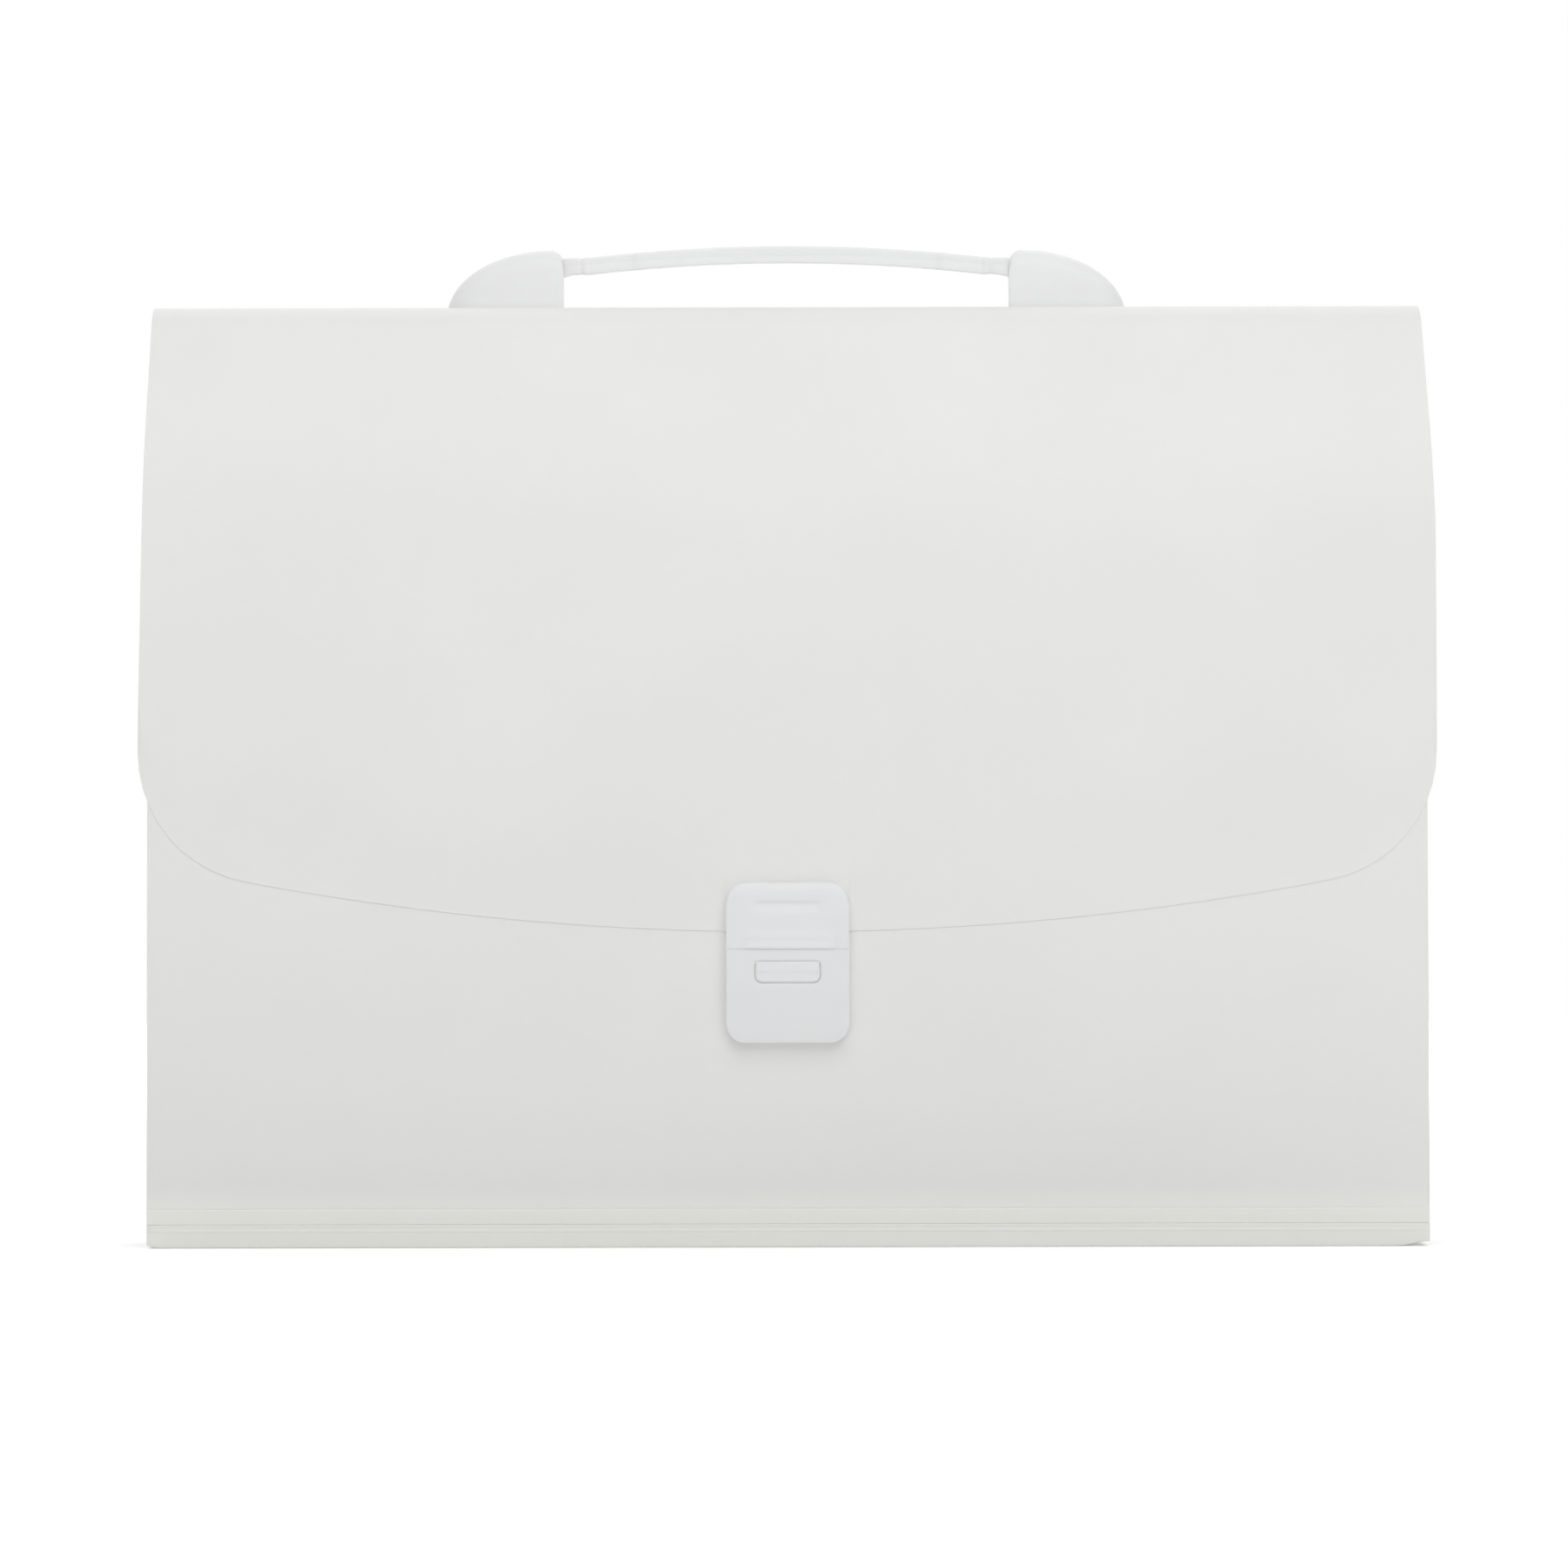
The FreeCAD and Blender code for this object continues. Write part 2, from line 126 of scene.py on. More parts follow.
# Other sheets
front_corner = 8 * mm
front_foot_row = 1.5 * mm
score_rise = 3.5 * mm
score_width = 0.8 * mm
score_depth = 0.15 * mm
score_clear = 4 * mm
front_bulge = 0.4 * mm
front_bulge_reach = (12 * mm, 52 * mm)
front_rows = 22
back_ripple = 0.25 * mm
back_ripple_pitch = 90 * mm
floor_bend = 0.4 * mm
floor_step = 6 * mm
floor_column_step = 2.5 * mm
left_lift = (162.5 * mm, 0.9 * mm)
right_lift = (156.5 * mm, 1.3 * mm)
crease_groove = 0.08 * mm
crease_groove_span = (0.25, 0.75)
crease_fade = 7 * mm
crease_rows = 12
crease_step = 3 * mm
spine_camber = 0.12 * mm
spine_step = 2 * mm
divider_count = 5
divider_corner = 5 * mm
shelf_corner = 0.5 * mm
tab_corner = 4 * mm
tab_foot = 1.5 * mm
tab_height = 11 * mm
tab_width = 44 * mm
pleat_fold = 0.9 * mm
film_ripple = 0.35 * mm
film_ripple_pitch = 35 * mm
film_ripple_stretch = 4

# Strap
strap_bow = 3.1 * mm
strap_reach = 53 * mm
strap_round = 0.6 * mm
strap_half = 1.4 * mm
strap_lip = 2.05 * mm
strap_fold = (0.6, 0.42)
strap_fold_half = 0.06 * mm
strap_foot = (0.3 * mm, 0.1 * mm)
strap_slope = 0.1
strap_notch = 0.6 * mm
strap_bar_end = 51.6 * mm
strap_bar_step = 1.6 * mm
grip_step = 4 * mm
tail_start = 62 * mm
tail_step = 3 * mm
tail_size = (3 * mm, 1.4 * mm, 1.9 * mm)

# Mounts
mount_peak = 62 * mm
mount_reach = 27.5 * mm
mount_rise = 17.7 * mm
mount_sink = 1.5 * mm
mount_turn = 3.5 * mm
mount_half = 4.75 * mm
mount_edge = 0.25 * mm
mount_edge_reach = 1.2 * mm
mount_lean = 0.7 * mm
mount_lean_reach = 3 * mm
mount_flare = 0.5 * mm
mount_flare_reach = 4 * mm
mount_mouth_steps = (0, 0.15, 0.4, 0.8, 1.3, 2, 2.8)
mount_last_turn = math.radians(84.5)
mount_rows = 22
mount_wall_rows = 8
mount_arch_rows = 24
mount_tip_power = 6

# Clasp
clasp_corner = 5 * mm
clasp_rim = 3.4 * mm
rim_drop = (0.3 * mm, 1.3 * mm)
rim_top = (8 * mm, mm)
clasp_wall = 0.65 * mm
clasp_sink = 0.9 * mm
clasp_step = 0.4 * mm
plate_columns = 88
plate_top_clear = 0.2 * mm
plate_corner_start = math.radians(50)
plate_corner_rows = 8
plate_sink = 0.03 * mm
seam_line = 0.02 * mm
slot_drop = 5.1 * mm
slot_reach = 8.2 * mm
slot_depth = 0.5 * mm
slot_upper = (0.25 * mm, -0.15 * mm)
slot_lower = (-3.2 * mm, -0.5 * mm)
end_fade = 1.2 * mm
rib_reach = 11 * mm
rib_height = 0.26 * mm
rib_back = 0.1 * mm
upper_rib = (5.4 * mm, 2.6 * mm)
upper_rib_back = (2.75 * mm, 2.45 * mm)
lower_rib = (2.7 * mm, 0.2 * mm)
lower_rib_back = (0.3 * mm, 0)
flap_step_reach = 1.5 * mm
case_side_rows = 26
case_corner_rows = 9
case_foot_columns = 40
case_top_columns = 44
case_face_rows = 44
case_row_bias = 1.7
case_wall_rows = 4
case_edge = 0.05 * mm
case_dip = 0.1 * mm
case_dip_side = (12 * mm, 9 * mm)
thumb_depth = 0.04 * mm
thumb_upper = (1.9 * mm, 2.7 * mm)
thumb_lower = (4.2 * mm, 5 * mm)
thumb_lower_share = 0.6
thumb_side = (9.5 * mm, 7.5 * mm)
window_half = 8.4 * mm
window_height = 5.6 * mm
window_drop = 3 * mm
window_corner = 1.8 * mm
window_line = 0.05 * mm
lip_depth = 0.4 * mm
lip_reach = 0.7 * mm
lip_top_loss = 0.6
button_columns = 84
button_step = 0.16 * mm
button_ridge = 0.1 * mm
upper_ridge_top = (2.3 * mm, 0.35 * mm)
upper_ridge_foot = (-0.3 * mm, 0.25 * mm)
lower_ridge = (-0.3 * mm, -2 * mm)
lower_ridge_share = 0.8
tongue_corner = 3 * mm
tongue_step = 1.5 * mm
tongue_rows = 12

body_low, body_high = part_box("back_panel")
front_low, front_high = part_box("front_panel")
flap_low, flap_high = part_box("flap")
floor_low, floor_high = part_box("bottom_panel")
spine_low, spine_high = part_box("top_panel")
cover_sheet = body_high.y - body_low.y
top = spine_high.z
half_flap = flap_high.x


def smooth(low, high, value):
    """0 before low, 1 after high and an even S between them; low may be the larger one."""
    share = min(1.0, max(0.0, (value - low) / (high - low)))
    return share * share * (3 - 2 * share)


def hump(low, high, value):
    """0 outside a stretch and a round hill of height 1 inside it."""
    share = min(1.0, max(0.0, (value - low) / (high - low)))
    return math.sin(math.pi * share) ** 2


def ripple(x, z, pitch):
    """A slow wave over a sheet, from -1 to 1, with hills about a pitch across."""
    return noise.noise(Vector((x / pitch, 0.5, z / pitch)))


def spread(low, high, step):
    """Even places from low to high, about a step apart."""
    count = max(1, round(abs(high - low) / step))
    return [low + (high - low) * k / count for k in range(count + 1)]


def even_rows(low, high, count):
    """Places from low to high that part the way into a count of even steps."""
    return [low + (high - low) * k / count for k in range(count + 1)]


def new_piece(name, points, faces):
    mesh = bpy.data.meshes.new(name)
    mesh.from_pydata(points, [], faces)
    mesh.update()
    for face in mesh.polygons:
        face.use_smooth = True
    piece = bpy.data.objects.new(name, mesh)
    bpy.context.scene.collection.objects.link(piece)
    return piece


def grid_faces(columns, rows, closed=False):
    """Faces between columns of points; a closed grid joins its last column to its first."""
    faces = []
    for c in range(columns if closed else columns - 1):
        here, after = c * rows, (c + 1) % columns * rows
        faces += [(here + r, after + r, after + r + 1, here + r + 1) for r in range(rows - 1)]
    return faces


def grid_piece(name, lines, closed=False):
    """A sheet through lines of points that all have the same count."""
    points = [point for line in lines for point in line]
    return new_piece(name, points, grid_faces(len(lines), len(lines[0]), closed))


def crisp(piece):
    """Turn every face outwards and keep the sharp edges of a closed piece sharp."""
    work = bmesh.new()
    work.from_mesh(piece.data)
    bmesh.ops.recalc_face_normals(work, faces=work.faces)
    work.to_mesh(piece.data)
    work.free()
    piece.data.set_sharp_from_angle(angle=sharp_turn)


def moulding(name, lines, back):
    """A closed piece from a shaped front, the back that back(x, z) gives and the wall between them."""
    columns, rows = len(lines), len(lines[0])
    front = [point for line in lines for point in line]
    behind = [(x, back(x, z), z) for x, y, z in front]
    count = len(front)
    faces = grid_faces(columns, rows)
    faces += [tuple(count + k for k in reversed(face)) for face in faces]
    last = (columns - 1) * rows
    loop = [c * rows for c in range(columns)]
    loop += [last + r for r in range(1, rows)]
    loop += [c * rows + rows - 1 for c in reversed(range(columns - 1))]
    loop += reversed(range(1, rows - 1))
    for a, b in zip(loop, loop[1:] + loop[:1]):
        faces.append((a, count + a, count + b, b))
    piece = new_piece(name, front + behind, faces)
    crisp(piece)
    return piece


def tube(name, rings):
    """A closed bar through rings of points."""
    count = len(rings[0])
    faces = []
    for section in range(len(rings) - 1):
        for k in range(count):
            a, b = section * count + k, section * count + (k + 1) % count
            faces.append((a, b, b + count, a + count))
    last = (len(rings) - 1) * count
    faces.append(tuple(range(count))[::-1])
    faces.append(tuple(range(last, last + count)))
    piece = new_piece(name, [point for ring in rings for point in ring], faces)
    crisp(piece)
    return piece


def apply_modifiers(piece):
    graph = bpy.context.evaluated_depsgraph_get()
    mesh = bpy.data.meshes.new_from_object(piece.evaluated_get(graph), depsgraph=graph)
    plain = piece.data
    piece.modifiers.clear()
    piece.data = mesh
    bpy.data.meshes.remove(plain)


def thicken(piece, thickness, edge, shares=None):
    """Give a sheet its thickness behind its outer face, round its edges and keep its flat faces flat."""
    solid = piece.modifiers.new("thickness", "SOLIDIFY")
    if shares:
        group = piece.vertex_groups.new(name="thickness")
        for index, share in enumerate(shares):
            group.add([index], share, "REPLACE")
        solid.vertex_group = group.name
    solid.thickness = thickness
    solid.offset = -1
    solid.use_even_offset = True
    bevel = piece.modifiers.new("edge", "BEVEL")
    bevel.width = edge
    bevel.segments = 2
    bevel.limit_method = "ANGLE"
    bevel.angle_limit = bevel_turn
    shade = piece.modifiers.new("shade", "WEIGHTED_NORMAL")
    shade.weight = 80
    apply_modifiers(piece)
    piece.vertex_groups.clear()


def finish_piece(piece, slot, *nodes):
    """Give a piece the finish of a slot and let it stand for its nodes."""
    piece.data.materials.append(materials[slot])
    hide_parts(*nodes)


def round_outline(corners, steps=5):
    """A closed outline through (x, z, radius) corners, each turned with a round of that radius."""
    outline = []
    for k, (x, z, radius) in enumerate(corners):
        here = Vector((x, z))
        if radius == 0:
            outline.append(here)
            continue
        before = Vector(corners[k - 1][:2]) - here
        after = Vector(corners[(k + 1) % len(corners)][:2]) - here
        half = before.angle(after) / 2
        reach = radius / math.tan(half)
        middle = here + (before.normalized() + after.normalized()).normalized() * radius / math.sin(half)
        start = here + before.normalized() * reach - middle
        end = here + after.normalized() * reach - middle
        turn = start.angle_signed(end)
        for step in range(steps + 1):
            angle = -turn * step / steps
            outline.append(middle + Matrix.Rotation(angle, 2) @ start)
    return outline


# Materials


def mixed_tone(nodes, links, factor, first, second):
    """A colour between two tones; each tone is a colour or another node's output."""
    mix = nodes.new("ShaderNodeMix")
    mix.data_type = "RGBA"
    links.new(factor, mix.inputs["Factor"])
    for socket, tone in (("A", first), ("B", second)):
        if isinstance(tone, tuple):
            mix.inputs[socket].default_value = (*tone, 1)
        else:
            links.new(tone, mix.inputs[socket])
    return mix.outputs["Result"]


def noise_of(nodes, links, place, scale, detail):
    texture = nodes.new("ShaderNodeTexNoise")
    texture.inputs["Scale"].default_value = scale
    texture.inputs["Detail"].default_value = detail
    links.new(place, texture.inputs["Vector"])
    return texture.outputs["Fac"]


def ranged(nodes, links, value, source, target):
    """A value carried from one range to another with soft ends."""
    node = nodes.new("ShaderNodeMapRange")
    node.interpolation_type = "SMOOTHSTEP"
    for socket, number in zip(("From Min", "From Max", "To Min", "To Max"), source + target):
        node.inputs[socket].default_value = number
    links.new(value, node.inputs["Value"])
    return node.outputs["Result"]


cloud_scale = 16
cloud_detail = 3
cloud_span = (0.35, 0.65)
fine_detail = 2
fine_span = (0.3, 0.7)
streak_scale = 420
streak_span = (0.55, 0.8)
streak_stretch = (1, 1, 0.06)
streak_gloss = 0.12
gloss_spread = 0.06
grain_depth = 0.05 * mm
plastic_ior = 1.49
inside_tint = (1.0, 0.98, 0.94)
# Foot band of the cover sheets, from strip_bottom up to strip_top: a yellower tint, made lighter as
# painted light against the shade near the floor.
strip_top = 17 * mm
strip_bottom = 9 * mm


def plastic(name, light, dark, roughness, grain_size, grain, inside, spread_depth, foot_tint_and_painted_light=None):
    """Milky plastic: cloudy colour, a matt grain, faint rubbed streaks, light that spreads inside, and
    where given a yellower foot band that is also painted lighter against the shade near the floor.
    """
    material = bpy.data.materials.new(name)
    material.use_nodes = True
    nodes, links = material.node_tree.nodes, material.node_tree.links
    surface = nodes["Principled BSDF"]
    place = nodes.new("ShaderNodeTexCoord").outputs["Object"]
    cloud = noise_of(nodes, links, place, cloud_scale, cloud_detail)
    tone = mixed_tone(nodes, links, ranged(nodes, links, cloud, cloud_span, (0, 1)), light, dark)
    # Yellower foot band, also lightened there as painted light to offset the floor's shade.
    if foot_tint_and_painted_light:
        height = nodes.new("ShaderNodeSeparateXYZ")
        links.new(place, height.inputs[0])
        low = ranged(nodes, links, height.outputs["Z"], (strip_top, strip_bottom), (0, 1))
        tone = mixed_tone(nodes, links, low, tone, foot_tint_and_painted_light)
    links.new(tone, surface.inputs["Base Color"])
    stretch = nodes.new("ShaderNodeMapping")
    stretch.inputs["Scale"].default_value = streak_stretch
    links.new(place, stretch.inputs["Vector"])
    rubbed = noise_of(nodes, links, stretch.outputs[0], streak_scale, fine_detail)
    streak = ranged(nodes, links, rubbed, streak_span, (0, streak_gloss))
    fine = noise_of(nodes, links, place, 1 / grain_size, fine_detail)
    gloss = ranged(nodes, links, fine, fine_span, (roughness - gloss_spread, roughness + gloss_spread))
    both = nodes.new("ShaderNodeMath")
    both.operation = "ADD"
    links.new(gloss, both.inputs[0])
    links.new(streak, both.inputs[1])
    links.new(both.outputs[0], surface.inputs["Roughness"])
    bump = nodes.new("ShaderNodeBump")
    bump.inputs["Strength"].default_value = grain
    bump.inputs["Distance"].default_value = grain_depth
    links.new(fine, bump.inputs["Height"])
    links.new(bump.outputs["Normal"], surface.inputs["Normal"])
    surface.inputs["Subsurface Weight"].default_value = inside
    surface.inputs["Subsurface Radius"].default_value = inside_tint
    surface.inputs["Subsurface Scale"].default_value = spread_depth
    surface.inputs["IOR"].default_value = plastic_ior
    return material


materials = {
    "cover": plastic(
        "milky_sheet",
        light=(0.826, 0.826, 0.814),
        dark=(0.812, 0.812, 0.798),
        roughness=0.44,
        grain_size=0.5 * mm,
        grain=0.25,
        inside=0,
        spread_depth=0.8 * mm,
        # Yellower and lighter near the foot: a real tint, and painted light against the shade near the
        # floor.
        foot_tint_and_painted_light=(0.868, 0.873, 0.827),
    ),
    "divider": plastic(
        "divider_sheet",
        light=(0.86, 0.86, 0.86),
        dark=(0.83, 0.83, 0.83),
        roughness=0.4,
        grain_size=0.4 * mm,
        grain=0.2,
        inside=0.35,
        spread_depth=0.8 * mm,
    ),
    "gusset": plastic(
        "gusset_film",
        light=(0.84, 0.85, 0.865),
        dark=(0.81, 0.82, 0.835),
        roughness=0.34,
        grain_size=0.8 * mm,
        grain=0.15,
        inside=0.3,
        spread_depth=0.5 * mm,
    ),
    "handle": plastic(
        "handle_moulding",
        light=(0.845, 0.848, 0.853),
        dark=(0.822, 0.824, 0.83),
        roughness=0.36,
        grain_size=0.9 * mm,
        grain=0.1,
        inside=0.3,
        spread_depth=1 * mm,
    ),
    "clasp": plastic(
        "clasp_moulding",
        light=(0.82, 0.823, 0.833),
        dark=(0.795, 0.798, 0.808),
        roughness=0.36,
        grain_size=0.9 * mm,
        grain=0.1,
        inside=0.3,
        spread_depth=1 * mm,
    ),
    "fixing": plastic(
        "fixing_plastic",
        light=(0.85, 0.85, 0.85),
        dark=(0.82, 0.82, 0.82),
        roughness=0.34,
        grain_size=0.9 * mm,
        grain=0.1,
        inside=0.3,
        spread_depth=1 * mm,
    ),
}


# Flap


def corner_centre():
    """Height of the centres of the two rounds that join the flap's sides to its lower arc."""
    reach = half_flap - flap_corner
    apart = flap_bottom_radius - flap_corner
    return flap_low.z + flap_bottom_radius - math.sqrt(apart**2 - reach**2)


def corner_meeting():
    """How far from the middle the corner round runs into the wide lower arc."""
    return (half_flap - flap_corner) * flap_bottom_radius / (flap_bottom_radius - flap_corner)


def flap_edge(x):
    """Height of the flap's lower edge at x: a wide arc between two round corners."""
    if abs(x) <= corner_meeting():
        return flap_low.z + flap_bottom_radius - math.sqrt(flap_bottom_radius**2 - x * x)
    inside = min(flap_corner, abs(x) - (half_flap - flap_corner))
    return corner_centre() - math.sqrt(flap_corner**2 - inside * inside)


def flap_columns():
    """Places across the flap: even along the lower arc, and by angle round the corners."""
    meeting = corner_meeting()
    first = math.asin((meeting - half_flap + flap_corner) / flap_corner)
    turns = spread(first, math.pi / 2, flap_corner_step)
    corner = [half_flap - flap_corner + flap_corner * math.sin(angle) for angle in turns]
    near = even_rows(clasp_clear, clasp_fade, 5)
    even = spread(-meeting, meeting, column_step)
    inner = [x for x in even if not clasp_clear <= abs(x) <= clasp_fade]
    inner = sorted(inner + near + [-x for x in near])
    return [-x for x in reversed(corner[1:])] + inner + corner[1:]


def shoulder_points():
    """The flap's section above its flat front: y, z and the way out, over the shoulder and the roll."""
    start = top - shoulder_drop
    bend_middle = flap_low.y + shoulder_radius
    roll_middle = top - roll_radius
    points = []
    for angle in spread(0, shoulder_lean, shoulder_step):
        y = bend_middle - shoulder_radius * math.cos(angle)
        points.append((y, start + shoulder_radius * math.sin(angle), -math.cos(angle), math.sin(angle)))
    below = points[-1]
    roll = []
    for angle in spread(shoulder_lean, math.pi / 2, roll_step):
        y = flap_high.y - roll_radius * math.cos(angle)
        roll.append((y, roll_middle + roll_radius * math.sin(angle), -math.cos(angle), math.sin(angle)))
    above = roll[0]
    slope = [tuple(a + (b - a) * share for a, b in zip(below, above)) for share in (0.25, 0.5, 0.75)]
    return points + slope + roll


def flap_relief(x, z, rise):
    """How far the hanging flap stands out: a soft belly, and an edge pressed in except at the clasp."""
    away = max(smooth(clasp_clear, clasp_fade, abs(x)), smooth(*clasp_head, z))
    aside = x / half_flap
    belly = flap_bulge * hump(flap_bulge_foot, top, z) * (1 - aside**2) * (1 + flap_bulge_skew * aside)
    pressed = flap_press * away * smooth(press_reach, 0, rise)
    curled = flap_curl * smooth(flap_curl_start, half_flap, abs(x))
    curled *= smooth(top, top - flap_curl_fade, z)
    wave = flap_ripple * ripple(x, z, flap_ripple_pitch) * hump(flap_ripple_foot, top, z)
    return belly + wave - max(pressed, curled)


def flap_width_share(x, z):
    """The flap's sides draw in towards the spine, from lower down on the left."""
    drop = left_taper_drop if x < 0 else right_taper_drop
    share = max(0.0, (z - top + drop) / drop)
    return 1 - share * (1 - spine_high.x / half_flap)


def make_flap():
    """The flap: flat rows above its lower edge, then the shoulder, thinned along the edge."""
    shoulder = shoulder_points()
    start = top - shoulder_drop
    steps = [(k / flap_flat_rows) ** flap_row_bias for k in range(1, flap_flat_rows)]
    lines = []
    shares = []
    for x in flap_columns():
        edge = flap_edge(x)
        away = smooth(clasp_clear, clasp_fade, abs(x))
        rises = flap_edge_rows + [(start - edge) * step for step in steps]
        flat = [(flap_low.y, edge + rise, -1, 0) for rise in rises]
        line = []
        for y, z, out_y, out_z in flat + shoulder:
            out = flap_relief(x, z, z - edge)
            line.append((x * flap_width_share(x, z), y + out_y * out, z + out_z * out))
            shares.append(1 - (1 - flap_edge_share) * away * smooth(thin_reach, 0, z - edge))
        lines.append(line)
    piece = grid_piece("flap_sheet", lines)
    thicken(piece, cover_sheet, edge_round, shares)
    finish_piece(piece, "cover", "flap")
    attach(piece, "flap")


# Body sheets


def make_front():
    """The front wall: a scored line near its foot, a slight belly and round top corners."""
    half = front_high.x
    inner = half - front_corner
    turns = spread(0, math.pi / 2, round_step)
    corner = [inner + front_corner * math.sin(angle) for angle in turns]
    columns = [-x for x in reversed(corner[1:])] + spread(-inner, inner, column_step) + corner[1:]
    score = front_low.z + score_rise
    foot = [front_low.z, front_low.z + front_foot_row]
    foot += spread(score, score + score_width, score_width / 4)
    lines = []
    for x in columns:
        turn = min(front_corner, max(0.0, abs(x) - inner))
        high = front_high.z - front_corner + math.sqrt(front_corner**2 - turn * turn)
        line = []
        for z in foot + even_rows(score + score_clear, high, front_rows):
            groove = score_depth * hump(score, score + score_width, z)
            belly = front_bulge * hump(*front_bulge_reach, z) * (1 - (x / half) ** 2)
            line.append((x, front_low.y + groove - belly, z))
        lines.append(line)
    piece = grid_piece("front_sheet", lines)
    thicken(piece, cover_sheet, edge_round)
    finish_piece(piece, "cover", "front_panel")
    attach(piece, "front")


def make_back():
    """The back wall, with the slow wave of a free sheet between its two creases."""
    lines = []
    for x in spread(-body_high.x, body_high.x, column_step):
        line = []
        for z in reversed(spread(body_low.z, body_high.z, column_step)):
            fade = hump(body_low.z, body_high.z, z)
            sway = back_ripple * fade * (1 + ripple(x, z, back_ripple_pitch))
            line.append((x, body_high.y - sway, z))
        lines.append(line)
    piece = grid_piece("back_sheet", lines)
    thicken(piece, cover_sheet, edge_round)
    finish_piece(piece, "cover", "back_panel")
    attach(piece, "back")


def floor_path():
    """The floor's outer line in YZ, from the top of its back edge round to the top of its front edge."""
    back, front = floor_high.y - floor_bend, floor_low.y + floor_bend
    edge = spread(floor_high.z, floor_bend, mm)
    turns = spread(0, math.pi / 2, round_step)
    path = [(floor_high.y, z) for z in edge[:-1]]
    path += [(back + floor_bend * math.cos(a), floor_bend - floor_bend * math.sin(a)) for a in turns]
    path += [(y, floor_low.z) for y in spread(back, front, floor_step)[1:-1]]
    path += [(front - floor_bend * math.sin(a), floor_bend - floor_bend * math.cos(a)) for a in turns]
    path += [(floor_low.y, z) for z in reversed(edge[:-1])]
    return path


def make_floor_sheet():
    """The floor of the body, drawn up a little at both ends of its folds."""
    lines = []
    for x in spread(floor_low.x, floor_high.x, floor_column_step):
        start, rise = right_lift if x > 0 else left_lift
        lift = rise * smooth(start, floor_high.x, abs(x))
        line = []
        for y, z in floor_path():
            low = max(0.0, 1 - z / floor_high.z)
            line.append((x, y, z + lift * low))
        lines.append(line)
    piece = grid_piece("floor_sheet", lines)
    thicken(piece, cover_sheet, edge_round)
    finish_piece(piece, "cover", "bottom_panel")
    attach(piece, "back")


def make_spine():
    """The spine on top, slightly arched between its two creases."""
    lines = []
    for x in spread(spine_low.x, spine_high.x, column_step):
        line = []
        for y in spread(spine_low.y, spine_high.y, spine_step):
            line.append((x, y, top + spine_camber * hump(spine_low.y, spine_high.y, y) - spine_camber))
        lines.append(line)
    piece = grid_piece("spine_sheet", lines)
    thicken(piece, cover_sheet, edge_round)
    finish_piece(piece, "cover", "top_panel")
    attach(piece, "top")


# Creases


def make_crease(name, half, path, node):
    """A thinned web along a crease: path gives (y, z) and the way in, for a groove along its middle."""
    first, last = (share * (len(path) - 1) for share in crease_groove_span)
    lines = []
    for x in spread(-half, half, crease_step):
        line = []
        fade = smooth(half, half - crease_fade, abs(x))
        for k, (y, z, in_y, in_z) in enumerate(path):
            dip = crease_groove * hump(first, last, k) * fade
            line.append((x, y + in_y * dip, z + in_z * dip))
        lines.append(line)
    piece = grid_piece(name, lines)
    thicken(piece, crease_web, film_edge)
    finish_piece(piece, "cover", node)
    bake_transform(piece)


def make_back_crease():
    """The round crease between the back wall and the spine."""
    node = "crease_back_top"
    low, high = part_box(node)
    radius = high.z - low.z
    path = []
    for angle in spread(math.pi / 2, 0, math.pi / 2 / crease_rows):
        out, up = math.cos(angle), math.sin(angle)
        path.append((low.y + radius * out, low.z + radius * up, -out, -up))
    make_crease("back_crease", high.x, path, node)


def make_flap_crease():
    """The flat crease between the spine and the flap."""
    node = "crease_front_top"
    low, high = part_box(node)
    path = [(y, top, 0, -1) for y in even_rows(low.y, high.y, crease_rows)]
    make_crease("flap_crease", high.x, path, node)


def make_front_crease():
    """The upright crease between the floor's front edge and the front wall."""
    node = "crease_front_bottom"
    low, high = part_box(node)
    path = [(low.y, z, 1, 0) for z in even_rows(low.z, high.z, crease_rows)]
    make_crease("front_crease", high.x, path, node)


# Inside


def make_divider(number):
    """One divider with its index tab, stepped from left to right."""
    node = "divider_" + str(number)
    low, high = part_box(node)
    shelf = high.z - tab_height
    step = (high.x - low.x - 2 * divider_corner) / divider_count
    middle = low.x + divider_corner + (number - 0.5) * step
    left, right = middle - tab_width / 2, middle + tab_width / 2
    right_corner = divider_corner if right + tab_foot < high.x - divider_corner else shelf_corner
    left_corner = divider_corner if left - tab_foot > low.x + divider_corner else shelf_corner
    corners = [
        (low.x, low.z, 0),
        (high.x, low.z, 0),
        (high.x, shelf, right_corner),
        (right, shelf, tab_foot),
        (right, high.z, tab_corner),
        (left, high.z, tab_corner),
        (left, shelf, tab_foot),
        (low.x, shelf, left_corner),
    ]
    outline = round_outline(corners)
    points = [(corner.x, low.y, corner.y) for corner in outline]
    piece = new_piece(node + "_sheet", points, [tuple(range(len(points)))])
    thicken(piece, high.y - low.y, divider_edge)
    finish_piece(piece, "divider", node)
    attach(piece, node)


def soften(path, reach, share=0.45, steps=4):
    """An open path with each corner turned by a short curve, which takes a share of a side at most."""
    line = [path[0]]
    for before, here, after in zip(path, path[1:], path[2:]):
        start = here + (before - here).normalized() * min(reach, (before - here).length * share)
        end = here + (after - here).normalized() * min(reach, (after - here).length * share)
        for step in range(steps + 1):
            t = step / steps
            line.append(start * (1 - t) ** 2 + here * 2 * t * (1 - t) + end * t * t)
    return line + [path[-1]]


def divider_faces(number):
    low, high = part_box("divider_" + str(number))
    return low.y, high.y


